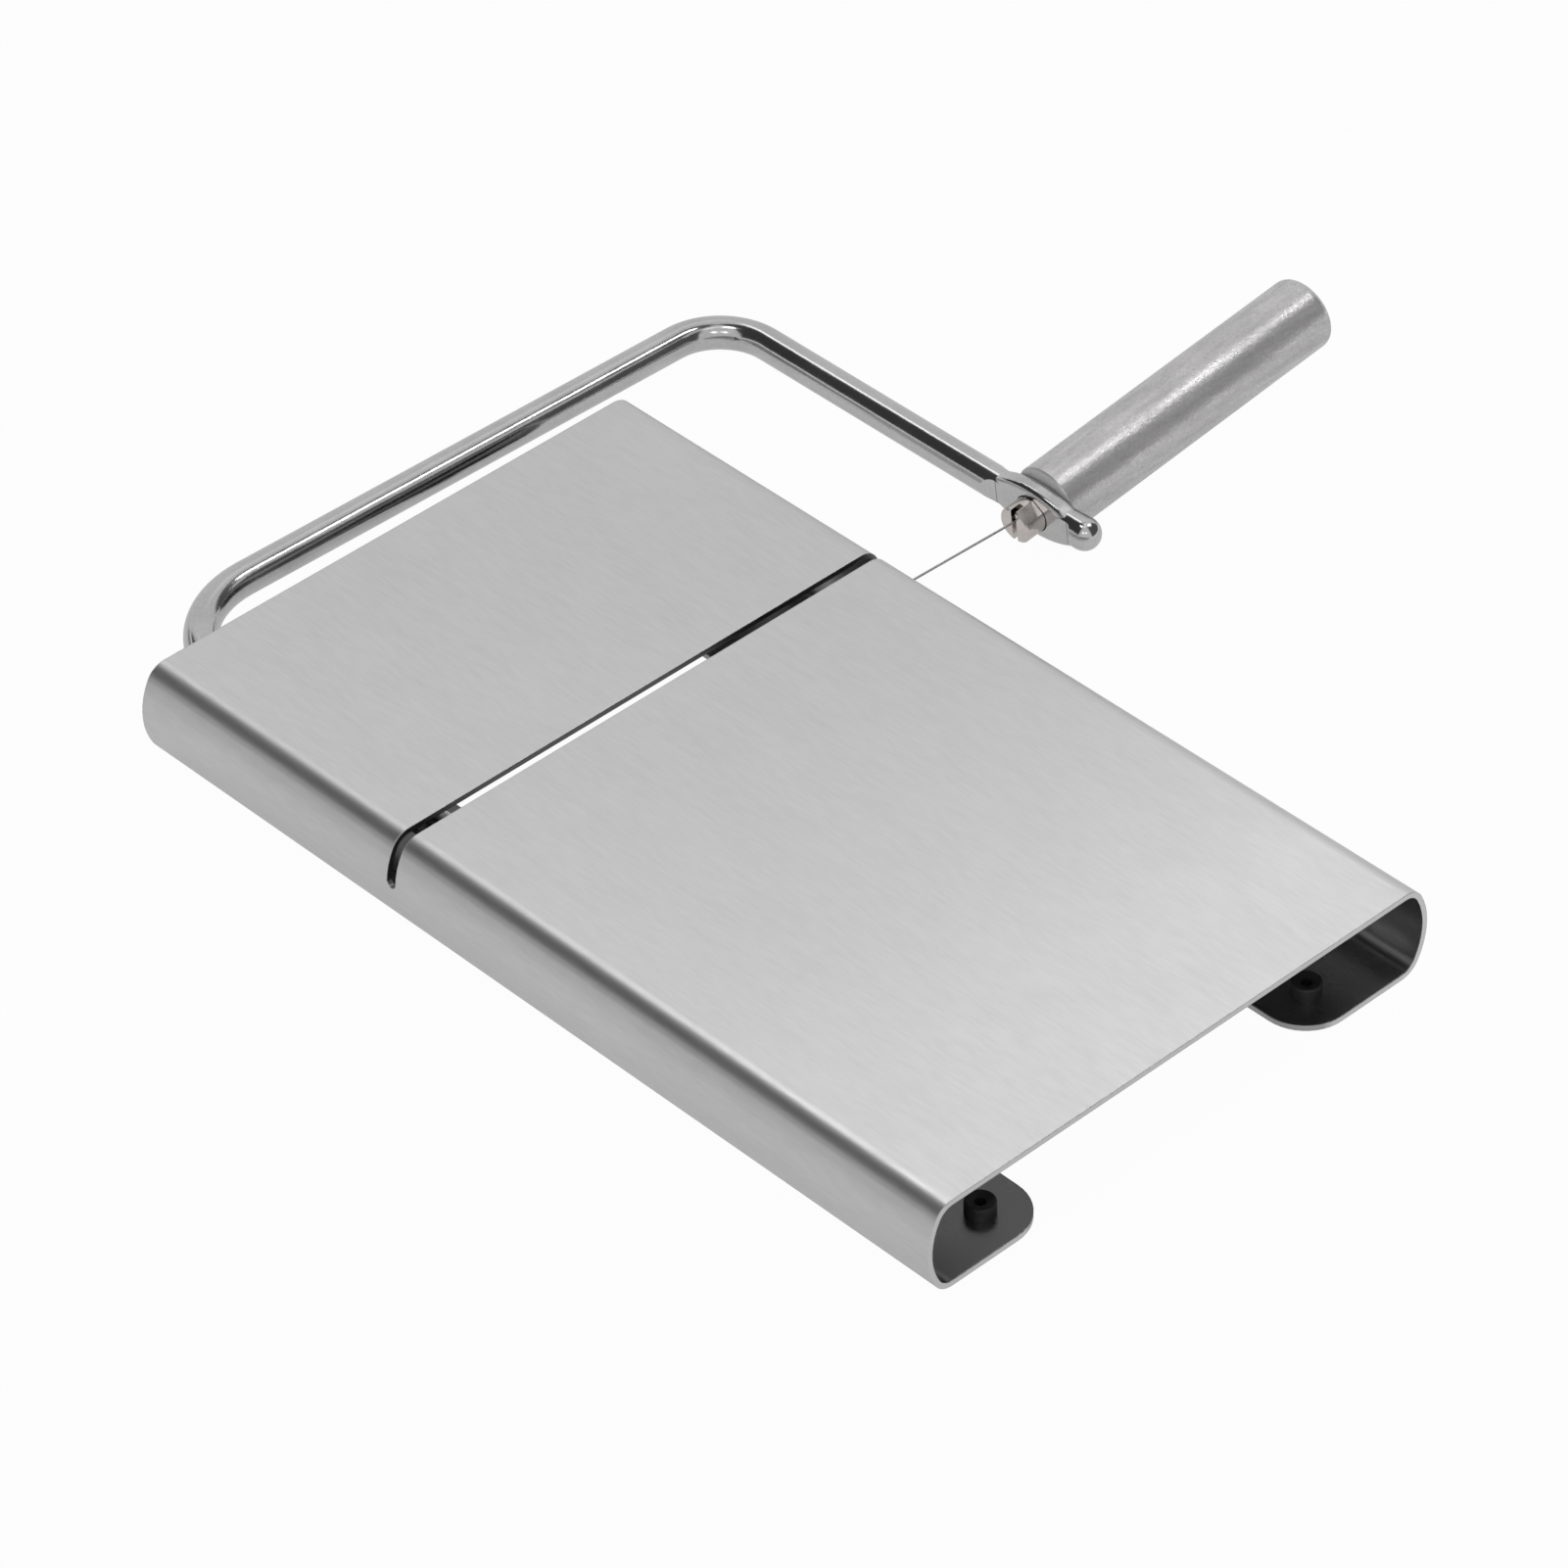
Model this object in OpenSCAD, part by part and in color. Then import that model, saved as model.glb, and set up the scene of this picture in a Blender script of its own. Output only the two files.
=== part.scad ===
// Wire cheese slicer: a bent sheet board with a cutting slot, and a swinging
// bow that pulls a thin wire down through it.
// Lengths are in millimetres. X runs along the board from the end where the bow
// comes out, Y runs across it towards the handle, and Z is up.

/* [Board] */
// Length of the board, along its rolled edges
board_length = 215; // [190:1:260]
// Width of the board, over its rolled edges
board_width = 130; // [115:1:160]
// Height of the bent sheet, without the feet
board_height = 20.6; // [20:0.1:26]
// Thickness of the steel sheet
sheet = 1.2; // [0.8:0.1:1.5]
// Outer radius where a rolled edge turns into the top and into the flange
corner_radius = 4.85; // [3:0.05:6]
// Outer radius of the gently curved side of a rolled edge
side_radius = 16.2; // [13:0.1:24]
// Width of the return flanges under the board
flange_width = 32.2; // [29:0.1:42]
// Radius of the free corners of the flanges
flange_corner = 9.5; // [3:0.5:14]

/* [Cutting slot] */
// Distance of the slot's middle from the board's far end
slot_place = 72.2; // [60:0.1:100]
// Width of the slot
slot_width = 2.4; // [1.6:0.1:3.5]
// Room that the resting wire keeps above the slot's end on the handle side
slot_rest_gap = 0.3; // [0.3:0.1:1.5]

/* [Bow] */
// Diameter of the round bar
rod_d = 7; // [6:0.1:8]
// Distance of the axle from the outside of the left rolled edge
axle_inset = 18.1; // [16:0.1:24]
// Distance of the handle leg from the outside of the right rolled edge
leg_outreach = 41.9; // [30:0.1:60]
// Distance of the cross leg from the board's far end
bow_overhang = 19.5; // [12:0.1:40]
// Centre-line radius of the bend beside the axle
axle_bend = 24.5; // [15:0.5:30]
// Centre-line radius of the bend beside the handle leg
leg_bend = 13.5; // [10:0.5:30]
// Angle by which the resting bow droops below level, in degrees
bow_droop = 1.2; // [0:0.1:2]

/* [Eye of the bow] */
// Length of the flattened stretch
eye_length = 20; // [17:0.5:24]
// Thickness of the flattened stretch
eye_thickness = 4; // [3:0.1:5]
// Steel left above and below the hole of the eye
eye_wall = 1.6; // [1.2:0.1:2.5]
// Length of the round nub beyond the flattened stretch
nub_length = 6.3; // [5:0.1:12]
// Height by which the nub is forged above the middle line of the leg
nub_rise = 0.6; // [0:0.1:1]

/* [Cutting wire] */
// Diameter of the wire
wire_d = 0.5; // [0.4:0.1:0.7]
// Height of the wire above the middle of the axle
wire_rise = 1.5; // [1:0.1:2]
// Diameter of the ferrule on the wire's inner end
ferrule_d = 2.2; // [1.8:0.1:2.4]
// Length of that ferrule
ferrule_length = 3.2; // [2:0.1:5]
// Diameter of the bead on the wire's outer end
bead_d = 2.8; // [2.2:0.1:3]

/* [Tension pin] */
// Diameter of the pin
pin_d = 8; // [7:0.1:9]
// Length by which the pin stands out of the eye
pin_reach = 4.9; // [4:0.1:8]
// Distance that the pin slides out as the handle is unscrewed
pin_travel = 5; // [3:0.5:6]
// Width of the slot across the pin's face
pin_slot_width = 1.25; // [0.8:0.05:1.5]
// Depth of the slot across the pin's face
pin_slot_depth = 2.5; // [1:0.1:3]
// Depth of the flat that keeps the pin from turning
pin_flat_depth = 0.35; // [0.2:0.05:0.6]
// Room round the pin in the eye
pin_room = 0.2; // [0.15:0.05:0.4]

/* [Handle] */
// Diameter of the handle
handle_d = 16; // [14:0.5:22]
// Length of the handle
handle_length = 75.7; // [55:0.1:110]
// Rounding of the handle's closed outer end
handle_rounding = 2; // [1.5:0.1:4]
// Wall of the handle's tube
handle_wall = 1.2; // [1:0.1:1.4]
// Angle between the handle and the plane of the bow, in degrees
handle_tilt = 8; // [4:0.5:10]
// Length of the threaded plug in the handle's inner end
nut_length = 14; // [12:0.5:20]

/* [Pivot] */
// Distance of the far bracket from the board's far end
far_bracket_place = 24; // [20:1:30]
// Distance of the near bracket from the slot's middle
near_bracket_offset = 28; // [20:1:40]
// Thickness of the brackets
bracket_sheet = 1.5; // [1.2:0.1:2]
// Steel of the bracket round its bush
bracket_land = 2.8; // [2:0.1:3]
// Length of the bracket's tab under the top
bracket_tab = 14; // [10:1:18]
// Wall of the bushes
bush_wall = 1.5; // [1:0.1:1.8]
// Thickness of the flange of the bushes
bush_flange = 1.2; // [0.8:0.1:2]
// Thickness of the retaining rings
clip_thickness = 0.7; // [0.5:0.1:1]

/* [Feet] */
// Height of the feet under the board
foot_height = 3; // [2.5:0.1:6]
// Diameter of the feet's pads
foot_d = 12; // [9:0.5:16]
// Diameter of the collar that snaps through the flange
collar_d = 6.1; // [5.6:0.1:8]
// Height of the collar above the flange
collar_height = 2.9; // [2:0.1:4]
// Distance of the feet from the short ends
foot_end_inset = 9.3; // [8:0.1:20]
// Distance of the feet from the outside of the rolled edges
foot_side_inset = 22.4; // [18:0.1:26]

/* [Hidden] */
$fn = 96;

// Overrun of every cut beyond the face it goes through
overrun = 1;
// Radial room of a shaft that turns or slides in its hole
running_fit = 0.05;
// Radial room of a piece that is pressed or snapped into its hole
seat_fit = 0.02;
// Room between pieces that move past each other face to face
side_room = 0.3;

// Colours
satin_steel = [0.76, 0.76, 0.77];
polished_steel = [0.82, 0.82, 0.83];
handle_steel = [0.70, 0.70, 0.70];
nickel = [0.74, 0.71, 0.69];
black_rubber = [0.09, 0.09, 0.09];
white_nylon = [0.90, 0.90, 0.87];
brass_yellow = [0.78, 0.64, 0.34];

// Rolled edge: the corner arcs run into the side arc, and cross it by a hair there
arc_lap = 0.001;
arc_span = side_radius - corner_radius + arc_lap;
corner_rise = board_height/2 - corner_radius;
corner_angle = asin(corner_rise/arc_span);
side_y = board_width/2 - side_radius;
corner_y = side_y + arc_span*cos(corner_angle);

// Axle and bow
axle_y = axle_inset - board_width/2;
axle_z = board_height/2;
bow_reach = (board_width - axle_inset + leg_outreach)/cos(bow_droop);
rod_r = rod_d/2;
handle_rise = handle_tilt - bow_droop;

// Eye and the hole in it
eye_hole_r = pin_d/2 + pin_room;
eye_half = eye_hole_r + eye_wall;
eye_sagitta = eye_half - rod_r;
eye_arc = (pow(eye_length/2, 2) + pow(eye_sagitta, 2))/(2*eye_sagitta);
eye_edge = 1.2;
forge_depth = rod_r - eye_thickness/2;
leg_fillet_shares = 3;
nub_fillet_shares = 1.1;

// Tension pin, along its axis from the middle of the eye
pin_face = -eye_thickness/2 - pin_reach;
handle_near = eye_thickness/2 + side_room;
plug_counterbore = 6;
pin_shoulder = handle_near + plug_counterbore - side_room;
pin_tail = handle_near + nut_length + pin_travel + side_room;
thread_depth = 0.25;
thread_r = pin_d/2 - thread_depth;
bead_place = side_room;
bead_room = 0.3;
bead_seat_room = 0.1;
pin_bore_r = bead_d/2 + bead_room;
pin_bore_end = bead_place - bead_d/2 - bead_seat_room;
pin_flat_angle = 55;
pin_edge = 0.3;

// Wire, in the plane of the bow, from the axle to the bead
wire_out_y = bow_reach + bead_place*cos(handle_tilt);
wire_out_z = bead_place*sin(handle_tilt);
wire_angle = atan((wire_out_z - wire_rise)/wire_out_y);
wire_to_pin = handle_tilt - wire_angle;
gate_half = (bead_place - pin_face + pin_travel)*tan(wire_to_pin) + wire_d/2 + side_room/2;
ferrule_wall = 0.6;
ferrule_room = 0.2;
notch_room = 0.2;
notch_width = wire_d + 2*notch_room;

// Slot: its left end is level with the axle, its right end lies under the wire
slot_left_end = axle_z;
wire_fall = tan(bow_droop - wire_angle);
wire_at_edge = axle_z + wire_rise - (board_width - axle_inset)*wire_fall;
slot_right_end = wire_at_edge - wire_d/2 - slot_rest_gap;

// Pivot brackets, bushes and rings
bush_bore_r = rod_r + running_fit;
bush_r = bush_bore_r + bush_wall;
bush_flange_r = bush_r + bush_flange;
bush_length = bush_flange + bracket_sheet + bush_wall;
bracket_r = bush_r + bracket_land;
bracket_bend = 1;
far_bush_face = far_bracket_place - bush_flange;
near_bracket_place = slot_place + near_bracket_offset;
near_bush_face = near_bracket_place + bracket_sheet + bush_flange;
groove_depth = 0.5;
groove_r = rod_r - groove_depth;
groove_width = clip_thickness + 2*seat_fit;
clip_width = 3;
clip_mouth_share = 0.86;
clip_notch_r = 1.1;
clip_notch_angle = 60;
axle_tip = 3;
axle_chamfer = 0.8;
axle_end = near_bush_face + side_room + groove_width + axle_tip;

// Feet
neck_r = collar_d/2 - 0.5*sheet;
foot_hole_r = neck_r + seat_fit;
foot_edge = 0.8;
collar_edge = 0.5;
dish_depth = 0.5;
dish_r = collar_d/2 - collar_edge;
foot_core_r = 1.1;

// Middle of the whole part in plan, which is the part's origin
handle_end = handle_near + handle_length - handle_rounding;
leg_y = axle_y + bow_reach*cos(bow_droop);
reach_y = leg_y + handle_end*cos(handle_rise) + (handle_d/2 - handle_rounding)*sin(handle_rise)
          + handle_rounding;
centre_x = (board_length - bow_overhang - rod_r)/2;
centre_y = (reach_y - board_width/2)/2;

// Frames

// Board frame: far end, middle of the width, underside of the flanges
module board_frame() {
    translate([-centre_x, -centre_y, foot_height]) children();
}

// Bow frame: on the axle at the board's far end, in the plane of the bow
module bow_frame() {
    board_frame() translate([0, axle_y, axle_z]) rotate([-bow_droop, 0, 0]) children();
}

// Pin frame: in the middle of the eye, with +Y along the pin and out to the handle
module pin_frame() {
    bow_frame() translate([slot_place, bow_reach, 0]) rotate([handle_tilt, 0, 0]) children();
}

// Wire frame: on the wire above the axle, with +Y along the wire
module wire_frame() {
    bow_frame() translate([slot_place, 0, wire_rise]) rotate([wire_angle, 0, 0]) children();
}

// A body of revolution drawn upwards, turned to lie along +Y from a place on it
module along_y(place = 0) {
    translate([0, place, 0]) rotate([-90, 0, 0]) children();
}

// A body of revolution or an extrusion drawn upwards, turned to lie along +X
module along_x(place = 0) {
    translate([place, 0, 0]) rotate([90, 0, 90]) children();
}

// Shapes

// Outline of the closed section, drawn in by an inset all round
module section_outline(inset) {
    middle = board_height/2;
    side_r = side_radius - inset;
    translate([-corner_y, inset]) square([2*corner_y, board_height - 2*inset]);
    for (side = [-1, 1]) {
        for (end = [-1, 1]) translate([side*corner_y, middle + end*corner_rise])
            circle(corner_radius - inset);
        intersection() {
            translate([side*side_y, middle]) circle(side_r);
            translate([side*(side_y + side_r), middle])
                square([2*side_r, 2*side_r*sin(corner_angle)], center = true);
        }
    }
}

// Section of the bent sheet, open between its flanges
module sheet_section() {
    gap = board_width - 2*flange_width;
    difference() {
        section_outline(0);
        section_outline(sheet);
        translate([-gap/2, -overrun]) square([gap, sheet + 2*overrun]);
    }
}

// What rounds off the free corner of a flange, drawn at that corner
module corner_waste() {
    difference() {
        translate([-overrun, -overrun]) square(flange_corner + overrun);
        translate([flange_corner, flange_corner]) circle(flange_corner);
    }
}

// Half outline of a bar with one rounded end, for turning round its axis
module bar_outline(radius, length, rounding) {
    square([radius, length - rounding]);
    square([radius - rounding, length]);
    translate([radius - rounding, length - rounding]) circle(rounding);
}

// What a slot with a round lower end takes away, from the top down to a height
module slot_cut(low, from_y, to_y) {
    round_z = low + slot_width/2;
    translate([slot_place - slot_width/2, from_y, round_z])
        cube([slot_width, to_y - from_y, board_height + overrun - round_z]);
    translate([slot_place, from_y, round_z]) along_y() cylinder(d = slot_width, h = to_y - from_y);
}

// Board

module board_shell() {
    flange_y = board_width/2 - flange_width;
    foot_y = board_width/2 - foot_side_inset;
    color(satin_steel) board_frame() difference() {
        along_x() linear_extrude(board_length) sheet_section();
        slot_cut(slot_left_end, -board_width/2 - overrun, 0);
        slot_cut(slot_right_end, 0, board_width/2 + overrun);
        for (side = [-1, 1], end = [0, 1]) {
            translate([end*board_length, side*flange_y, -overrun])
                mirror([end, 0, 0]) mirror([0, (1 - side)/2, 0])
                    linear_extrude(sheet + 2*overrun) corner_waste();
            foot_x = end == 0 ? foot_end_inset : board_length - foot_end_inset;
            translate([foot_x, side*foot_y, -overrun])
                cylinder(r = foot_hole_r, h = sheet + 2*overrun);
        }
    }
}

// Solid outline of a bent strip: square but for one rounded upper corner
module bent_corner(width, height, radius) {
    translate([radius, 0]) square([width - radius, height]);
    square([width, height - radius]);
    translate([radius, height - radius]) circle(radius);
}

// Bent bracket with its web on the axle at a place, and its tab towards +X or -X
module bracket(place, way) {
    top = board_height - sheet;
    turn = bracket_bend + bracket_sheet;
    board_frame() translate([place, axle_y, 0]) mirror([(1 - way)/2, 0, 0]) difference() {
        intersection() {
            translate([0, bracket_r, 0]) rotate([90, 0, 0]) linear_extrude(2*bracket_r) difference() {
                bent_corner(bracket_tab, top, turn);
                translate([bracket_sheet, -bracket_sheet]) bent_corner(bracket_tab, top, bracket_bend);
            }
            along_x() translate([0, axle_z]) linear_extrude(bracket_tab) {
                circle(bracket_r);
                translate([-bracket_r, 0]) square([2*bracket_r, top - axle_z]);
            }
        }
        along_x(-overrun) translate([0, axle_z])
            cylinder(r = bush_r + seat_fit, h = bracket_sheet + 2*overrun);
    }
}

module far_bracket() {
    color(satin_steel) bracket(far_bracket_place, 1);
}

module near_bracket() {
    color(satin_steel) bracket(near_bracket_place + bracket_sheet, -1);
}

// Flanged bush with the outer face of its flange at a place, and its barrel towards +X or -X
module bush(place, way) {
    board_frame() translate([place, axle_y, axle_z]) mirror([(1 - way)/2, 0, 0]) along_x() difference() {
        union() {
            cylinder(r = bush_flange_r, h = bush_flange);
            cylinder(r = bush_r, h = bush_length);
        }
        translate([0, 0, -overrun]) cylinder(r = bush_bore_r, h = bush_length + 2*overrun);
    }
}

module far_bush() {
    color(white_nylon) bush(far_bush_face, 1);
}

module near_bush() {
    color(white_nylon) bush(near_bush_face, -1);
}

// Push-in foot: pad, neck in the flange and dished collar above it
module foot(x, y) {
    collar_top = foot_height + sheet + collar_height;
    color(black_rubber) board_frame() translate([x, y, -foot_height]) difference() {
        union() {
            rotate_extrude() {
                translate([0, foot_height]) mirror([0, 1]) bar_outline(foot_d/2, foot_height, foot_edge);
            }
            cylinder(r = neck_r, h = collar_top - collar_edge);
            translate([0, 0, foot_height + sheet]) rotate_extrude()
                bar_outline(collar_d/2, collar_height, collar_edge);
        }
        translate([0, 0, collar_top - dish_depth])
            cylinder(r1 = foot_core_r, r2 = dish_r, h = dish_depth);
        translate([0, 0, foot_height]) cylinder(r = foot_core_r, h = collar_top);
    }
}

module foot_at(end, side) {
    foot_x = end == 0 ? foot_end_inset : board_length - foot_end_inset;
    foot(foot_x, side*(board_width/2 - foot_side_inset));
}

module foot_far_left() {
    foot_at(0, -1);
}

module foot_far_right() {
    foot_at(0, 1);
}

module foot_near_left() {
    foot_at(1, -1);
}

module foot_near_right() {
    foot_at(1, 1);
}

// Bow

// Quarter of a bent bar, between two angles that are a right angle apart
module rod_bend(radius, from) {
    rotate([0, 0, from]) rotate_extrude(angle = 90) translate([radius, 0]) circle(rod_r);
}

// Axle, bends, cross leg, and handle leg up to the eye's middle with the round nub beyond it
module bent_bar() {
    axle_start = axle_bend - bow_overhang;
    leg_start = leg_bend - bow_overhang;
    leg_tip = slot_place + eye_length/2 + nub_length - rod_r;
    along_x(axle_start) cylinder(r = rod_r, h = axle_end - axle_start - axle_chamfer);
    along_x(axle_end - axle_chamfer) cylinder(r1 = rod_r, r2 = rod_r - axle_chamfer, h = axle_chamfer);
    translate([axle_start, axle_bend, 0]) rod_bend(axle_bend, 180);
    translate([-bow_overhang, 0, 0]) along_y(axle_bend)
        cylinder(r = rod_r, h = bow_reach - axle_bend - leg_bend);
    translate([leg_start, bow_reach - leg_bend, 0]) rod_bend(leg_bend, 90);
    translate([0, bow_reach, 0]) along_x(leg_start) cylinder(r = rod_r, h = slot_place - leg_start);
    translate([0, bow_reach, nub_rise]) along_x(slot_place) cylinder(r = rod_r, h = leg_tip - slot_place);
    translate([leg_tip, bow_reach, nub_rise]) sphere(rod_r);
}

// Frame of the eye: in its middle, with +Y along the pin, on the bow
module eye_frame() {
    translate([slot_place, bow_reach, 0]) rotate([handle_tilt, 0, 0]) children();
}

// Wide disc with rounded edges that bounds the eye above or below
module eye_disc(way) {
    inner = eye_arc - eye_edge;
    translate([0, 0, way*(eye_half - eye_arc)]) along_y(-eye_thickness/2) rotate_extrude() {
        translate([0, eye_edge]) square([eye_arc, eye_thickness - 2*eye_edge]);
        square([inner, eye_thickness]);
        translate([inner, eye_edge]) circle(eye_edge);
        translate([inner, eye_thickness - eye_edge]) circle(eye_edge);
    }
}

// Forged plate of the eye: what lies in both discs
module eye_plate() {
    intersection() {
        eye_disc(1);
        eye_disc(-1);
    }
}

// What is pressed away on both sides of the bar, with a long fillet to the leg and a short one to the nub
module flat_waste() {
    for (side = [0, 1]) mirror([0, side, 0])
        translate([0, eye_thickness/2, -rod_d]) linear_extrude(2*rod_d) {
            translate([-eye_length/2, 0]) square([eye_length, rod_d]);
            fillet_end(-1, forge_depth*leg_fillet_shares);
            fillet_end(1, forge_depth*nub_fillet_shares);
        }
}

// Round end of the pressed stretch, towards the leg or the nub
module fillet_end(way, radius) {
    translate([way*eye_length/2, radius]) circle(radius);
}

// Hole for the pin, with the flat that keeps the pin from turning
module pin_hole() {
    key = pin_d/2 - pin_flat_depth + pin_room;
    long = eye_half + overrun;
    difference() {
        along_y(-long) cylinder(r = eye_hole_r, h = 2*long);
        rotate([0, -pin_flat_angle, 0]) translate([key, -long, -eye_half]) cube([eye_half, 2*long, 2*eye_half]);
    }
}

// Groove for a retaining ring, from a place along the axle
module ring_groove(place) {
    along_x(place) difference() {
        cylinder(r = rod_r + overrun, h = groove_width);
        translate([0, 0, -overrun]) cylinder(r = groove_r, h = groove_width + 2*overrun);
    }
}

// Notch across the top of the axle for the wire, and the pocket for its ferrule
module wire_notch() {
    pocket = ferrule_d + 2*ferrule_room;
    back = -rod_d;
    translate([slot_place, 0, wire_rise]) {
        along_y(back) cylinder(d = notch_width, h = 2*rod_d);
        translate([-notch_width/2, back, 0]) cube([notch_width, 2*rod_d, rod_d]);
        along_y(back) cylinder(d = pocket, h = -ferrule_wall - back);
        translate([-pocket/2, back, 0]) cube([pocket, -ferrule_wall - back, rod_d]);
    }
}

module bow_rod() {
    color(polished_steel) bow_frame() difference() {
        union() {
            difference() {
                bent_bar();
                eye_frame() flat_waste();
            }
            eye_frame() eye_plate();
        }
        eye_frame() pin_hole();
        wire_notch();
        ring_groove(far_bush_face - side_room - groove_width);
        ring_groove(near_bush_face + side_room);
    }
}

// Open retaining ring with its outer face at a place along the axle
module clip(place) {
    inner = groove_r + running_fit;
    outer = groove_r + clip_width;
    mouth = 2*inner*clip_mouth_share;
    bow_frame() along_x(place) linear_extrude(clip_thickness) difference() {
        circle(outer);
        circle(inner);
        translate([-mouth/2, -outer - overrun]) square([mouth, outer + overrun]);
        for (side = [-1, 1]) rotate(side*clip_notch_angle) translate([0, inner]) circle(clip_notch_r);
    }
}

module far_clip() {
    color(polished_steel) clip(far_bush_face - side_room - clip_thickness - seat_fit);
}

module near_clip() {
    color(polished_steel) clip(near_bush_face + side_room + seat_fit);
}

// Cutting wire

module cutting_wire() {
    span = sqrt(pow(wire_out_y, 2) + pow(wire_rise - wire_out_z, 2));
    start = -ferrule_wall - ferrule_length;
    color(polished_steel) wire_frame() along_y(start) cylinder(d = wire_d, h = span - start);
}

module axle_wire_stop() {
    start = -ferrule_wall - ferrule_length - seat_fit;
    color(brass_yellow) wire_frame() difference() {
        along_y(start) cylinder(d = ferrule_d, h = ferrule_length);
        along_y(start - overrun) cylinder(r = wire_d/2 + seat_fit, h = ferrule_length + 2*overrun);
    }
}

module pin_wire_stop() {
    span = sqrt(pow(wire_out_y, 2) + pow(wire_rise - wire_out_z, 2));
    color(brass_yellow) wire_frame() translate([0, span, 0]) difference() {
        sphere(d = bead_d);
        along_y(-bead_d) cylinder(r = wire_d/2 + seat_fit, h = 2*bead_d);
    }
}

// Handle and its tension pin

module tension_pin() {
    color(nickel) pin_frame() difference() {
        union() {
            along_y(pin_face) cylinder(r1 = pin_d/2 - pin_edge, r2 = pin_d/2, h = pin_edge);
            along_y(pin_face + pin_edge) cylinder(d = pin_d, h = pin_shoulder - pin_face - pin_edge);
            along_y(pin_shoulder) cylinder(r = thread_r, h = pin_tail - pin_shoulder);
        }
        along_y(pin_bore_end) cylinder(r = pin_bore_r, h = pin_tail - pin_bore_end + overrun);
        translate([-pin_slot_width/2, pin_face - overrun, -pin_d])
            cube([pin_slot_width, pin_slot_depth + overrun, 2*pin_d]);
        translate([-pin_slot_width/2, pin_face - overrun, -gate_half])
            cube([pin_slot_width, pin_bore_end + 2*overrun - pin_face, 2*gate_half]);
        rotate([0, -pin_flat_angle, 0]) translate([pin_d/2 - pin_flat_depth, pin_face - overrun, -pin_d/2])
            cube([pin_d, pin_shoulder - pin_face + overrun, pin_d]);
    }
}

module handle_sleeve() {
    bore_r = handle_d/2 - handle_wall;
    color(handle_steel) pin_frame() along_y(handle_near) rotate_extrude() difference() {
        bar_outline(handle_d/2, handle_length, handle_rounding);
        bar_outline(bore_r, handle_length - handle_wall, handle_rounding - handle_wall/2);
        translate([handle_d/2, 0]) circle(pin_edge, $fn = 4);
    }
}

module handle_nut() {
    color(handle_steel) pin_frame() along_y(handle_near) difference() {
        cylinder(r = handle_d/2 - handle_wall - seat_fit, h = nut_length);
        translate([0, 0, -overrun]) cylinder(r = thread_r + running_fit, h = nut_length + 2*overrun);
        translate([0, 0, -overrun]) cylinder(r = pin_d/2 + running_fit, h = plug_counterbore + overrun);
    }
}

board_shell();
far_bracket();
near_bracket();
far_bush();
near_bush();
bow_rod();
far_clip();
near_clip();
cutting_wire();
axle_wire_stop();
pin_wire_stop();
tension_pin();
handle_sleeve();
handle_nut();
foot_far_left();
foot_far_right();
foot_near_left();
foot_near_right();
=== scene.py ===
import math

import bpy
from mathutils import Matrix, Vector


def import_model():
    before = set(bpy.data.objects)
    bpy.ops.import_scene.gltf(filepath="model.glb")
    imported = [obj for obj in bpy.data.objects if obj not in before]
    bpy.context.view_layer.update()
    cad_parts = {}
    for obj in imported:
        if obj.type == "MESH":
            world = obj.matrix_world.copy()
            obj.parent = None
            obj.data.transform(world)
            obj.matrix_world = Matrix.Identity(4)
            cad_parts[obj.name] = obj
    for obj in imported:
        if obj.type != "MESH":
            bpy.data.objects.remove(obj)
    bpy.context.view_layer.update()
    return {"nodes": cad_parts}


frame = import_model()
NODES = frame["nodes"]


def grey(level):
    return (level, level, level)


# Camera: placed and aimed as the photograph's, found from the board's edges
IMAGE_SIDE_PX = 1601
FOCAL_PX = 7689.58
SENSOR_MM = 36.0
CAMERA_PLACE = (0.812721, -0.806194, 0.921086)
CAMERA_RIGHT = (0.69159, 0.72214, -0.01453)
CAMERA_DOWN = (0.45081, -0.44728, -0.77247)
CAMERA_AHEAD = (-0.56433, 0.52768, -0.63489)
CAMERA_NEAR = 0.05
CAMERA_FAR = 20.0

# Floor: its grey, how white the camera and the mirrors see it, its size and its height
FLOOR_GREY = 0.80
FLOOR_SEEN = 0.965
FLOOR_MIRRORED = 0.44
FLOOR_HALF_SIDE = 6.0
FLOOR_HEIGHT = -0.0002

# Room: its two levels, then ramps over the X, Y and Z of the direction in which it is seen.
# A ramp is its start and its end, and the values there where these aren't 0 and 1.
ROOM_DARK = 0.10
ROOM_LIGHT = 0.70
TO_LEFT = (0.08, -0.05)
TO_RIGHT = (-0.05, 0.08)
TO_FAR = (-0.02, 0.12)
TO_NEAR = (0.12, -0.02)
TO_FAR_SOONER = (-0.05, 0.12)
LOW_GLOW = (0.22, 0.38, 0.22, -0.05)
RIM_BELOW = (0.20, 0.25)
RIM_ABOVE = (0.27, 0.32, 0.8, 0.0)
FLOOR_LINE = (0.04, 0.09, 1.1, 0.0)

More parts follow.
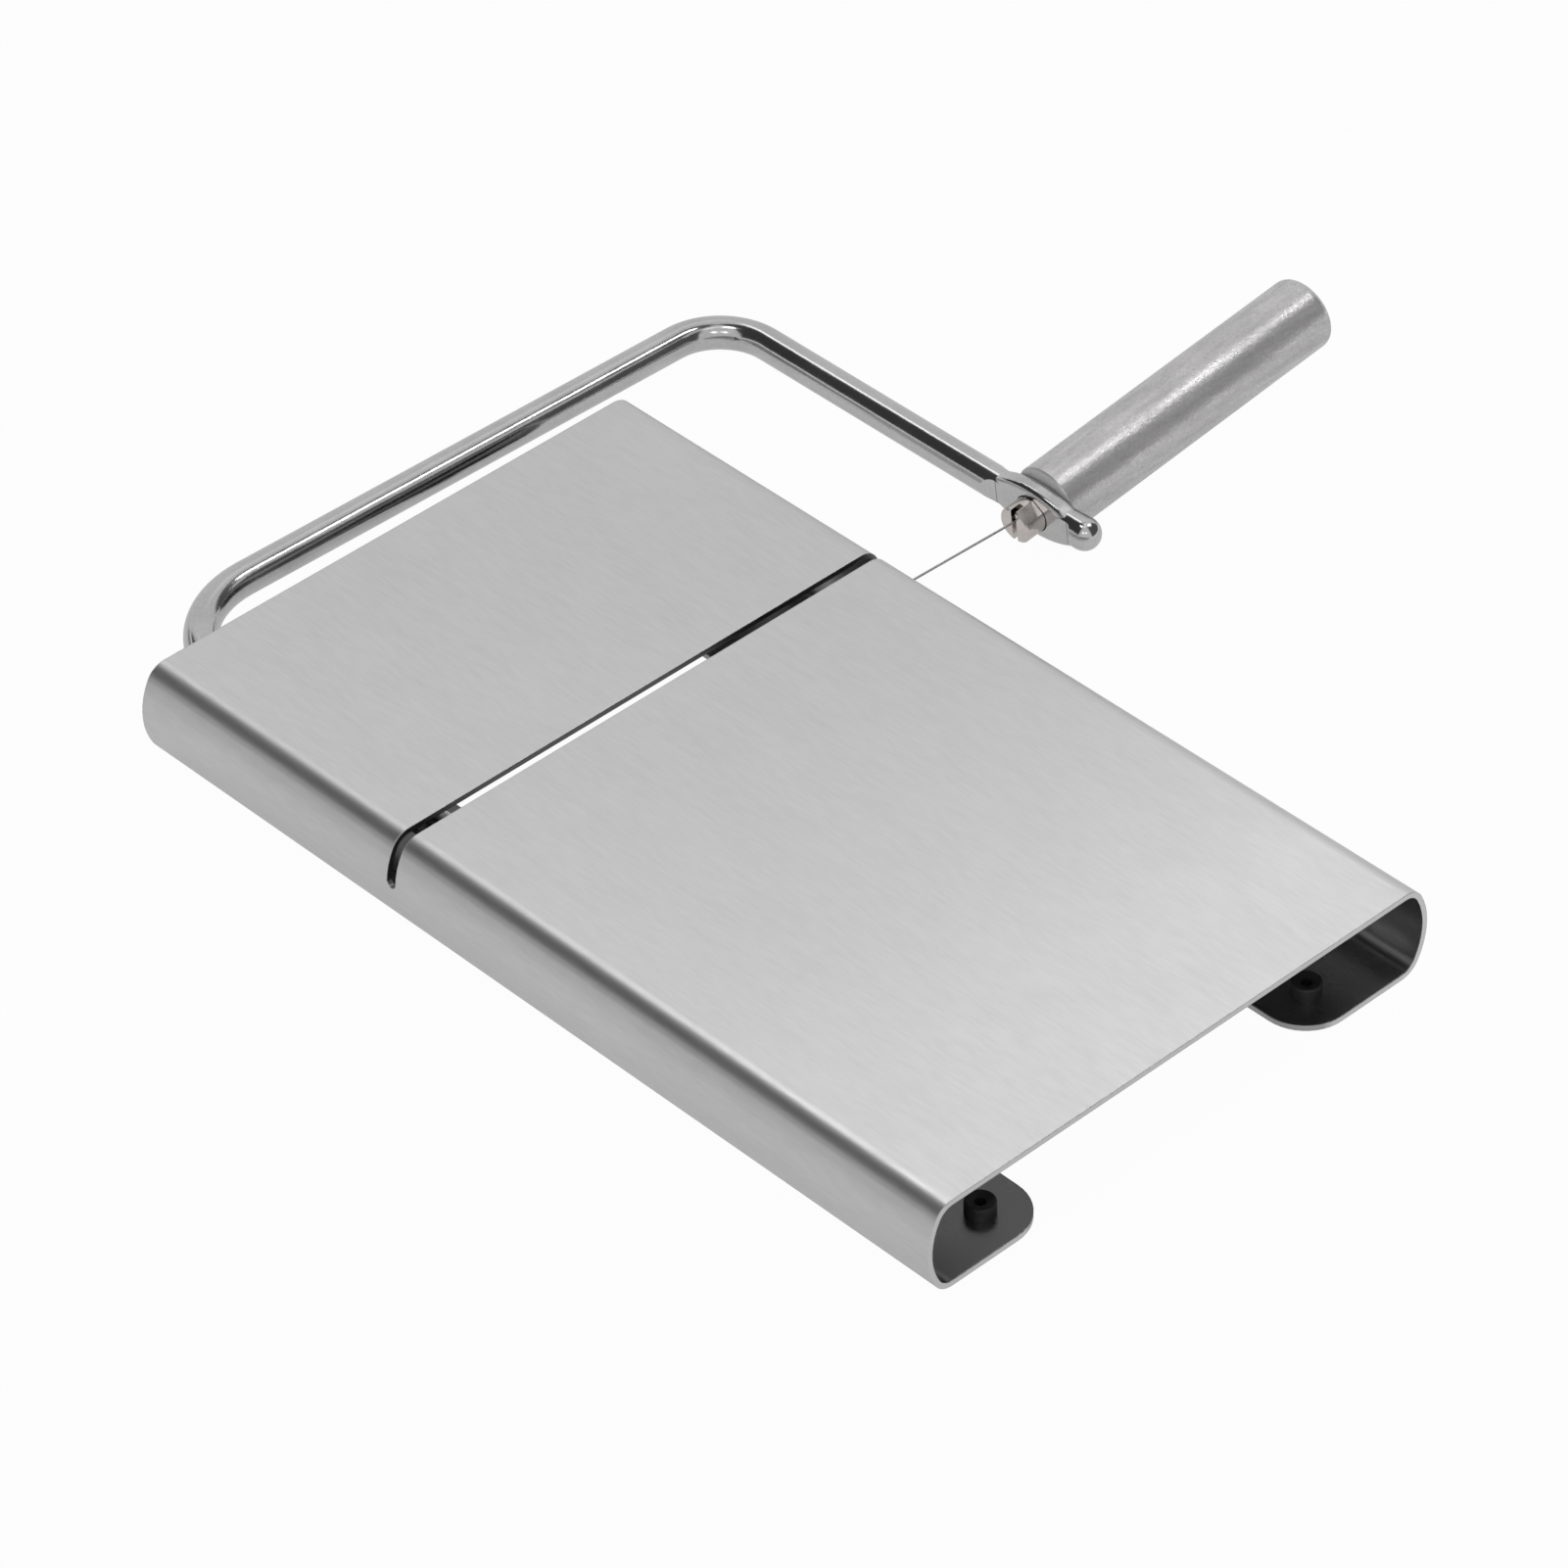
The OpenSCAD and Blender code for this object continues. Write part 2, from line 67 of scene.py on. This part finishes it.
# Lamps: name, place, target, size, power in watts, turn of the long side in degrees
MIDDLE = (0.0, -0.05, 0.02)
LAMPS = (
    ("strip_far", (0.20, 0.57, 1.05), MIDDLE, (0.42, 0.09), 0.85, 90.0),
    ("wide_far", (0.20, 0.57, 1.05), MIDDLE, (0.42, 0.28), 0.25, 90.0),
    ("strip_left", (-0.084, -0.064, 0.36), (0.08, -0.12, 0.02), (0.10, 0.06), 0.070, 0.0),
    ("strip_leg", (-0.85, 0.24, 1.05), MIDDLE, (0.50, 0.18), 0.34, 0.0),
    ("card_far", (-0.50, 0.56, 0.86), (0.1, -0.05, 0.0), (0.30, 0.30), 0.04, 0.0),
    ("card_near_end", (0.010, 0.075, 0.210), (0.11, -0.08, 0.02), (0.20, 0.10), 0.032, 90.0),
    ("card_behind_left", (0.74, -1.14, 1.18), MIDDLE, (0.30, 0.35), 0.53, 0.0),
    ("card_behind_right", (1.16, -0.70, 1.18), MIDDLE, (0.30, 0.35), 0.53, 0.0),
)

# Places on the object, in metres
SLOT_X = -0.0238
EYE_HALF_LENGTH = 0.010
CREASE_WIDTH = 0.0002
PIN_AXIS = (0.0, 0.9929657, 0.1184044)
SHEET_MIDDLE = (0.0, -0.0600379, 0.0133)
ACROSS_BOARD = (0.0, 1.0, 1.0)

# Ramps of the masks over the object
INWARDS_ON_PIN = (-0.96, -0.99)
INSIDE_SHEET = (-0.001, -0.003)
CUT_EDGE = (0.90, 0.98)
SLOT_WALLS = (0.0016, 0.0014)
HANDLE_SIDE = (0.0, 0.001)

# Sheet: noise in cycles per metre along X, Y and Z, tones at places of the noise, roughness
SHEET_FINE = (220.0, 1500.0, 1500.0)
SHEET_BROAD = (70.0, 320.0, 320.0)
SHEET_CLOUD = (34.0, 22.0, 22.0)
SHEET_CLOUD_SHARE = 0.35
SHEET_TONES = ((0.25, grey(0.65)), (0.5, grey(0.682)), (0.78, grey(0.715)))
# Painted shade: the sheet's inner side is darker than its outside, as shade inside the channel.
SHEET_INNER_SHADE_TONES = ((0.3, grey(0.40)), (0.7, grey(0.47)))
SHEET_CUT_TONE = grey(0.72)
# Painted shade: the walls of the slot are dark, as shade in the slot.
SLOT_WALL_SHADE = grey(0.18)
SHEET_ROUGH = (0.3, 0.7, 0.44, 0.38)
SHEET_SMOOTHER_INSIDE = 0.12
EDGE_ROUNDING = 0.0004

# Bar and wire
BAR_CLOUD = 90.0
BAR_GRAIN = 1400.0
BAR_SPECKS = 650.0
BAR_SPECK_SIZE = (0.05, 0.11)
BAR_TONES = ((0.35, grey(0.52)), (0.65, grey(0.63)))
# Painted shade: dark lines at the creases where the flat of the eye ends.
BAR_CREASE_SHADE = grey(0.30)
BAR_ROUGH = (0.3, 0.75, 0.11, 0.19)
WIRE_DRAWN = (900.0, 60.0, 900.0)
WIRE_TONES = ((0.3, grey(0.40)), (0.7, grey(0.52)))
WIRE_ROUGH = (0.3, 0.7, 0.42, 0.34)

# Handle: its tube and the plug in its end
TUBE_RINGS = (40.0, 900.0, 40.0)
TUBE_ALONG = (500.0, 30.0, 500.0)
TUBE_MOTTLE = (420.0, 200.0, 420.0)
TUBE_PITS = 700.0
TUBE_GRIT = 1500.0
TUBE_TONES = ((0.40, (0.55, 0.539, 0.546)), (0.5, (0.66, 0.648, 0.656)),
              (0.60, (0.77, 0.755, 0.765)))
# Painted light: the tube's faced end is light and matt, so it shows bright.
TUBE_END_PAINTED_LIGHT = grey(0.90)
TUBE_ROUGH = (0.35, 0.65, 0.34, 0.24)
TUBE_METAL = (0.0, 1.0, 0.5, 0.1)
PLUG_TURNED = (60.0, 1200.0, 60.0)
# Painted light: the plug is light and matt, so it shows bright.
PLUG_PAINTED_LIGHT_TONES = ((0.3, grey(0.86)), (0.7, grey(0.92)))
PLUG_ROUGH = (0.3, 0.7, 0.50, 0.42)
PLUG_METAL = 0.1

# Pin, wire stops, bushes and feet
NICKEL_CLOUD = 300.0
NICKEL_TONES = ((0.3, (0.60, 0.555, 0.53)), (0.7, (0.72, 0.67, 0.645)))
NICKEL_ROUGH = (0.3, 0.7, 0.16, 0.25)
BRASS_TURNED = (60.0, 2500.0, 60.0)
BRASS_TONES = ((0.3, (0.58, 0.42, 0.16)), (0.7, (0.72, 0.54, 0.24)))
BRASS_ROUGH = (0.3, 0.7, 0.22, 0.34)
NYLON_GRAIN = 900.0
NYLON_TONES = ((0.3, (0.76, 0.76, 0.72)), (0.7, (0.84, 0.84, 0.80)))
NYLON_ROUGH = 0.45
RUBBER_GRAIN = 2200.0
RUBBER_CLOUD = 150.0
RUBBER_TONES = ((0.3, grey(0.010)), (0.7, grey(0.022)))
RUBBER_ROUGH = (0.3, 0.7, 0.42, 0.62)


# ---------------------------------------------------------------- node helpers

class Nodes:
    """Short names for the nodes of one tree, which starts empty."""

    def __init__(self, tree):
        self.tree = tree
        tree.nodes.clear()

    def new(self, kind):
        return self.tree.nodes.new(kind)

    def node(self, kind, **inputs):
        made = self.new(kind)
        for name, value in inputs.items():
            made.inputs[name.replace("_", " ")].default_value = value
        return made

    def link(self, source, target):
        self.tree.links.new(source, target)

    def coordinates(self):
        return self.new("ShaderNodeTexCoord").outputs

    def split(self, vector):
        made = self.new("ShaderNodeSeparateXYZ")
        self.link(vector, made.inputs["Vector"])
        return made.outputs

    def ramp(self, value, start, end, at_start=0.0, at_end=1.0, smooth=False):
        made = self.new("ShaderNodeMapRange")
        made.clamp = True
        if smooth:
            made.interpolation_type = "SMOOTHSTEP"
        for name, number in (("From Min", start), ("From Max", end), ("To Min", at_start),
                             ("To Max", at_end)):
            made.inputs[name].default_value = number
        self.link(value, made.inputs["Value"])
        return made.outputs["Result"]

    def smooth(self, value, ramp):
        return self.ramp(value, *ramp, smooth=True)

    def math(self, operation, *values):
        made = self.new("ShaderNodeMath")
        made.operation = operation
        for slot, value in enumerate(values):
            if isinstance(value, (int, float)):
                made.inputs[slot].default_value = value
            else:
                self.link(value, made.inputs[slot])
        return made.outputs["Value"]

    def times(self, first, second):
        return self.math("MULTIPLY", first, second)

    def plus(self, first, second):
        return self.math("ADD", first, second)

    def minus(self, first, second):
        return self.math("SUBTRACT", first, second)

    def magnitude(self, value):
        return self.math("ABSOLUTE", value)

    def light_or_white(self, light, white, share, output):
        """Show the first shader, and the white one by its share."""
        shown = self.new("ShaderNodeMixShader")
        self.link(share, shown.inputs["Fac"])
        self.link(light.outputs[0], shown.inputs[1])
        self.link(white.outputs[0], shown.inputs[2])
        self.link(shown.outputs[0], output.inputs["Surface"])


class Shader(Nodes):
    """The nodes of one material."""

    def __init__(self, name):
        self.material = bpy.data.materials.new(name)
        self.material.use_nodes = True
        super().__init__(self.material.node_tree)
        self.output = self.new("ShaderNodeOutputMaterial")

    def noise(self, scale, detail=3.0, roughness=0.55):
        """Noise over the object, stretched where the scale has three numbers."""
        vector, even_scale = self.coordinates()["Object"], scale
        if isinstance(scale, tuple):
            mapping = self.node("ShaderNodeMapping", Scale=scale)
            self.link(vector, mapping.inputs["Vector"])
            vector, even_scale = mapping.outputs["Vector"], 1.0
        made = self.node("ShaderNodeTexNoise", Scale=even_scale, Detail=detail,
                         Roughness=roughness)
        self.link(vector, made.inputs["Vector"])
        return made.outputs["Fac"]

    def voronoi(self, scale):
        made = self.node("ShaderNodeTexVoronoi", Scale=scale)
        self.link(self.coordinates()["Object"], made.inputs["Vector"])
        return made.outputs["Distance"]

    def colours(self, fac, stops):
        made = self.new("ShaderNodeValToRGB")
        ramp = made.color_ramp
        while len(ramp.elements) < len(stops):
            ramp.elements.new(0.5)
        for element, (place, colour) in zip(ramp.elements, stops):
            element.position = place
            element.color = (*colour, 1.0)
        self.link(fac, made.inputs["Fac"])
        return made.outputs["Color"]

    def mix(self, fac, first, second):
        made = self.new("ShaderNodeMix")
        made.data_type = "RGBA"
        self.link(fac, made.inputs["Factor"])
        for name, value in (("A", first), ("B", second)):
            socket = [s for s in made.inputs if s.name == name and s.type == "RGBA"][0]
            if isinstance(value, tuple):
                socket.default_value = (*value, 1.0)
            else:
                self.link(value, socket)
        return [s for s in made.outputs if s.type == "RGBA"][0]

    def vector(self, operation, first, second):
        made = self.new("ShaderNodeVectorMath")
        made.operation = operation
        for slot, value in enumerate((first, second)):
            if isinstance(value, tuple):
                made.inputs[slot].default_value = value
            else:
                self.link(value, made.inputs[slot])
        return made.outputs

    def faces_inwards(self, coordinates):
        """Mask of the faces square to the pin that look along the wire."""
        along = self.vector("DOT_PRODUCT", coordinates["Normal"], PIN_AXIS)["Value"]
        return self.ramp(along, *INWARDS_ON_PIN)

    def eye_creases(self, coordinates):
        """Mask of the two fine lines where the flat of the eye ends, painted dark as shade."""
        place = self.split(coordinates["Object"])
        away = self.magnitude(self.minus(place["X"], SLOT_X))
        beside = self.magnitude(self.minus(away, EYE_HALF_LENGTH))
        line = self.ramp(beside, CREASE_WIDTH, 0.5*CREASE_WIDTH)
        return self.times(line, self.ramp(place["Y"], *HANDLE_SIDE))

    def faces_of_sheet(self, coordinates):
        """Two masks of the bent sheet: its inner side, and its cut edges across the board."""
        normal = coordinates["Normal"]
        out = self.vector("SUBTRACT", coordinates["Object"], SHEET_MIDDLE)["Vector"]
        across = self.vector("MULTIPLY", out, ACROSS_BOARD)["Vector"]
        outwards = self.vector("DOT_PRODUCT", across, normal)["Value"]
        inside = self.ramp(outwards, *INSIDE_SHEET)
        cut = self.ramp(self.magnitude(self.split(normal)["X"]), *CUT_EDGE)
        return inside, cut

    def beside_slot(self, coordinates):
        """Mask of the walls of the bent sheet's slot, which are painted dark as shade."""
        away = self.magnitude(self.minus(self.split(coordinates["Object"])["X"], SLOT_X))
        return self.ramp(away, *SLOT_WALLS)

    def broken_edges(self, radius):
        """Normal with the sheet's sharp edges rounded off a little."""
        made = self.node("ShaderNodeBevel", Radius=radius)
        made.samples = 6
        return made.outputs["Normal"]

    def bump(self, height, strength, distance, under=None):
        made = self.node("ShaderNodeBump", Strength=strength, Distance=distance)
        self.link(height, made.inputs["Height"])
        if under is not None:
            self.link(under, made.inputs["Normal"])
        return made.outputs["Normal"]

    def surface(self, links, **constants):
        """Principled shader with linked inputs by name, and constants on its own sockets."""
        made = self.node("ShaderNodeBsdfPrincipled", **constants)
        for name, source in links.items():
            self.link(source, made.inputs[name])
        self.link(made.outputs["BSDF"], self.output.inputs["Surface"])
        return self.material


# ---------------------------------------------------------------- materials

def satin_steel():
    """Brushed sheet: lines along the rolled edges, painted shade inside and in its slot, light
    on its cut edges.
    """
    s = Shader("satin_steel")
    fine, broad, cloud = s.noise(SHEET_FINE), s.noise(SHEET_BROAD), s.noise(SHEET_CLOUD)
    lines = s.plus(s.times(fine, 0.7), s.times(broad, 0.3))
    shade = s.plus(lines, s.times(s.minus(cloud, 0.5), SHEET_CLOUD_SHARE))
    coordinates = s.coordinates()
    inside, edge = s.faces_of_sheet(coordinates)
    # Painted shade: the inner side of the sheet gets the darker inner tones.
    faces = s.mix(inside, s.colours(shade, SHEET_TONES), s.colours(cloud, SHEET_INNER_SHADE_TONES))
    # Painted shade: the walls of the slot get a dark tone in place of the light cut tone.
    cut = s.mix(s.beside_slot(coordinates), SHEET_CUT_TONE, SLOT_WALL_SHADE)
    smoother = s.times(inside, SHEET_SMOOTHER_INSIDE)
    return s.surface({
        "Base Color": s.mix(edge, faces, cut),
        "Roughness": s.minus(s.ramp(shade, *SHEET_ROUGH), smoother),
        "Normal": s.bump(lines, strength=0.07, distance=0.00003,
                         under=s.broken_edges(EDGE_ROUNDING)),
    }, Metallic=1.0)


def polished_steel():
    """Mirror-polished bar: faint ripples and small specks, and painted shade along the creases
    of its eye.
    """
    s = Shader("polished_steel")
    cloud, grain = s.noise(BAR_CLOUD, detail=4.0), s.noise(BAR_GRAIN)
    specks = s.ramp(s.voronoi(BAR_SPECKS), *BAR_SPECK_SIZE)
    shade = s.plus(s.times(cloud, 0.6), s.times(grain, 0.4))
    coordinates = s.coordinates()
    # Painted shade: the creases of the eye are darkened.
    crease = s.times(s.eye_creases(coordinates), s.faces_inwards(coordinates))
    waves = s.bump(cloud, strength=0.25, distance=0.0002)
    ripple = s.bump(grain, strength=0.10, distance=0.0001, under=waves)
    return s.surface({
        "Base Color": s.mix(crease, s.colours(shade, BAR_TONES), BAR_CREASE_SHADE),
        "Roughness": s.ramp(cloud, *BAR_ROUGH),
        "Normal": s.bump(specks, strength=0.15, distance=0.0001, under=ripple),
    }, Metallic=1.0)


def wire_steel():
    """Drawn wire: plain grey, not so shiny, with fine marks along it."""
    s = Shader("wire_steel")
    drawn = s.noise(WIRE_DRAWN)
    return s.surface({
        "Base Color": s.colours(drawn, WIRE_TONES),
        "Roughness": s.ramp(drawn, *WIRE_ROUGH),
    }, Metallic=1.0)


def handle_end():
    """Plug in the handle's inner end: painted light and matt so it shows bright, and faintly
    turned.
    """
    s = Shader("handle_end")
    turned = s.noise(PLUG_TURNED)
    return s.surface({
        "Base Color": s.colours(turned, PLUG_PAINTED_LIGHT_TONES),
        "Roughness": s.ramp(turned, *PLUG_ROUGH),
    }, Metallic=PLUG_METAL)


def handle_steel():
    """Handle tube: mottled satin with fine rings and small pits, its faced end painted light and
    matt so it shows bright.
    """
    s = Shader("handle_steel")
    rings, along = s.noise(TUBE_RINGS), s.noise(TUBE_ALONG)
    mottle = s.noise(TUBE_MOTTLE, detail=5.0, roughness=0.65)
    pits = s.noise(TUBE_PITS, detail=5.0, roughness=0.7)
    grit = s.noise(TUBE_GRIT, roughness=0.6)
    marks = s.plus(s.times(mottle, 0.2), s.times(grit, 0.4))
    shade = s.plus(s.times(along, 0.4), marks)
    # Painted light: the faced end turns light and hardly metallic.
    end = s.faces_inwards(s.coordinates())
    turned = s.bump(s.plus(along, rings), strength=0.12, distance=0.00005)
    return s.surface({
        "Base Color": s.mix(end, s.colours(shade, TUBE_TONES), TUBE_END_PAINTED_LIGHT),
        "Metallic": s.ramp(end, *TUBE_METAL),
        "Roughness": s.ramp(shade, *TUBE_ROUGH),
        "Normal": s.bump(pits, strength=0.4, distance=0.00022, under=turned),
    })


def nickel():
    """Nickel-plated pin: warm grey and softly glossy."""
    s = Shader("nickel")
    cloud = s.noise(NICKEL_CLOUD)
    return s.surface({
        "Base Color": s.colours(cloud, NICKEL_TONES),
        "Roughness": s.ramp(cloud, *NICKEL_ROUGH),
        "Normal": s.bump(cloud, strength=0.05, distance=0.00003),
    }, Metallic=1.0)


def brass_yellow():
    """Turned brass of the two wire stops."""
    s = Shader("brass_yellow")
    turned = s.noise(BRASS_TURNED, detail=2.0)
    return s.surface({
        "Base Color": s.colours(turned, BRASS_TONES),
        "Roughness": s.ramp(turned, *BRASS_ROUGH),
        "Normal": s.bump(turned, strength=0.1, distance=0.00003),
    }, Metallic=1.0)


def white_nylon():
    """Moulded plastic of the two bushes."""
    s = Shader("white_nylon")
    grain = s.noise(NYLON_GRAIN)
    return s.surface({
        "Base Color": s.colours(grain, NYLON_TONES),
        "Normal": s.bump(grain, strength=0.1, distance=0.00004),
    }, Roughness=NYLON_ROUGH)


def black_rubber():
    """Moulded rubber of the four feet."""
    s = Shader("black_rubber")
    grain, cloud = s.noise(RUBBER_GRAIN, detail=4.0), s.noise(RUBBER_CLOUD, detail=2.0)
    return s.surface({
        "Base Color": s.colours(cloud, RUBBER_TONES),
        "Roughness": s.ramp(grain, *RUBBER_ROUGH),
        "Normal": s.bump(grain, strength=0.2, distance=0.00004),
    })


def dress(material, *names):
    """Give these CAD nodes one material."""
    for name in names:
        mesh = NODES[name].data
        mesh.materials.clear()
        mesh.materials.append(material)


def dress_all():
    dress(satin_steel(), "board_shell", "far_bracket", "near_bracket")
    dress(polished_steel(), "bow_rod", "far_clip", "near_clip")
    dress(wire_steel(), "cutting_wire")
    dress(handle_steel(), "handle_sleeve")
    dress(handle_end(), "handle_nut")
    dress(nickel(), "tension_pin")
    dress(brass_yellow(), "axle_wire_stop", "pin_wire_stop")
    dress(white_nylon(), "far_bush", "near_bush")
    dress(black_rubber(), "foot_far_left", "foot_far_right", "foot_near_left", "foot_near_right")


# ---------------------------------------------------------------- stage and light

def place_facing(thing, place, axes):
    """Put a camera or lamp at a place, with its own X, Y and Z along these three axes."""
    turn = Matrix(axes).transposed()
    thing.matrix_world = Matrix.Translation(place) @ turn.to_4x4()
    bpy.context.scene.collection.objects.link(thing)


def camera():
    data = bpy.data.cameras.new("camera")
    data.sensor_width = SENSOR_MM
    data.lens = FOCAL_PX/IMAGE_SIDE_PX*SENSOR_MM
    data.clip_start = CAMERA_NEAR
    data.clip_end = CAMERA_FAR
    holder = bpy.data.objects.new("camera", data)
    place_facing(holder, CAMERA_PLACE,
                 (Vector(CAMERA_RIGHT), -Vector(CAMERA_DOWN), -Vector(CAMERA_AHEAD)))
    bpy.context.scene.camera = holder


def floor_material():
    """Grey to the light, and nearly white to the camera and in mirrors."""
    s = Shader("floor")
    plain = s.node("ShaderNodeBsdfDiffuse", Color=(*grey(FLOOR_GREY), 1.0))
    white = s.node("ShaderNodeEmission", Color=(1.0, 1.0, 1.0, 1.0), Strength=1.0)
    ray = s.new("ShaderNodeLightPath").outputs
    mirrored = s.math("MAXIMUM", ray["Is Glossy Ray"], ray["Is Transmission Ray"])
    share = s.math("MAXIMUM", s.times(ray["Is Camera Ray"], FLOOR_SEEN),
                   s.times(mirrored, FLOOR_MIRRORED))
    s.light_or_white(plain, white, share, s.output)
    return s.material


def floor():
    half = FLOOR_HALF_SIDE
    corners = [(x, y, FLOOR_HEIGHT) for x, y in ((-half, -half), (half, -half), (half, half),
                                                 (-half, half))]
    mesh = bpy.data.meshes.new("floor")
    mesh.from_pydata(corners, [], [(0, 1, 2, 3)])
    mesh.materials.append(floor_material())
    piece = bpy.data.objects.new("floor", mesh)
    bpy.context.scene.collection.objects.link(piece)


def room_level(s):
    """Level of the room by direction: light at the far left and its opposite, else dark.

    Three glows are added for the reflections: one low at the near left, a brighter rim above
    it that the rolled edge mirrors, and a line just over the floor beside the far left.
    """
    direction = s.split(s.coordinates()["Generated"])
    across, along, up = direction["X"], direction["Y"], direction["Z"]
    far_left = s.times(s.smooth(across, TO_LEFT), s.smooth(along, TO_FAR))
    near_right = s.times(s.smooth(across, TO_RIGHT), s.smooth(along, TO_NEAR))
    near_left = s.times(s.smooth(across, TO_LEFT), s.smooth(along, TO_NEAR))
    lit = s.math("MAXIMUM", far_left, near_right)
    quarters = s.smooth(lit, (0.0, 1.0, ROOM_DARK, ROOM_LIGHT))
    low = s.times(near_left, s.smooth(up, LOW_GLOW))
    rim = s.times(near_left, s.times(s.smooth(up, RIM_BELOW), s.smooth(up, RIM_ABOVE)))
    beside = s.minus(s.smooth(along, TO_FAR_SOONER), far_left)
    line = s.times(beside, s.smooth(up, FLOOR_LINE))
    return s.plus(s.plus(quarters, low), s.plus(rim, line))


def world():
    """The room, which the camera sees as plain white."""
    made = bpy.data.worlds.new("studio")
    bpy.context.scene.world = made
    made.use_nodes = True
    s = Nodes(made.node_tree)
    output = s.new("ShaderNodeOutputWorld")
    room = s.new("ShaderNodeBackground")
    s.link(room_level(s), room.inputs["Color"])
    white = s.node("ShaderNodeBackground", Color=(1.0, 1.0, 1.0, 1.0))
    s.light_or_white(room, white, s.new("ShaderNodeLightPath").outputs["Is Camera Ray"], output)


def soft_box(name, place, target, size, power, turn):
    """A rectangular lamp that faces its target, with its long side turned about Z."""
    data = bpy.data.lights.new(name, "AREA")
    data.shape = "RECTANGLE"
    data.size, data.size_y = size
    data.energy = power
    back = (Vector(place) - Vector(target)).normalized()
    angle = math.radians(turn)
    level_side = Vector((math.cos(angle), math.sin(angle), 0.0))
    long_side = (level_side - back*level_side.dot(back)).normalized()
    lamp = bpy.data.objects.new(name, data)
    place_facing(lamp, place, (long_side, back.cross(long_side), back))


def lights():
    for lamp in LAMPS:
        soft_box(*lamp)


bpy.context.scene.view_settings.view_transform = "Standard"
camera()
dress_all()
floor()
world()
lights()
